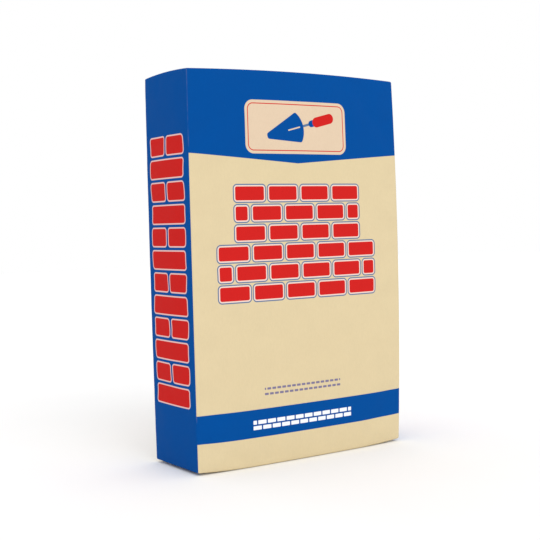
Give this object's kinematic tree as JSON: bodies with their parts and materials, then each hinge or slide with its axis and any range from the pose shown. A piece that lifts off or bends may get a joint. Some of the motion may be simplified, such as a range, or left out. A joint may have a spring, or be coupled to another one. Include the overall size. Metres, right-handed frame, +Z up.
{
  "type": "cement bag",
  "caption": "Full paper sack of cement, standing upright on its block end: a near box of printed multi-ply paper, pasted end patches and a flat valve sleeve.",
  "frame": {"origin": "centre of the sack's plan outline, on the level floor that its bottom end stands on", "axes": "+Z up along the sack's length, -Y out of the broad front, +X towards the end of the top that holds the valve"},
  "size_m": [0.396, 0.139, 0.5993],
  "materials": {
    "printed_paper": "cream kraft paper printed in matt blue and red inks",
    "kraft_paper": "unprinted brown kraft paper",
    "cement_powder": "fine grey powder"
  },
  "bodies": {
    "root": {"sack": "printed_paper", "top_end_patch": "kraft_paper", "bottom_end_patch": "kraft_paper", "valve_sleeve": "kraft_paper", "cement_fill": "cement_powder"}
  },
  "joints": []
}
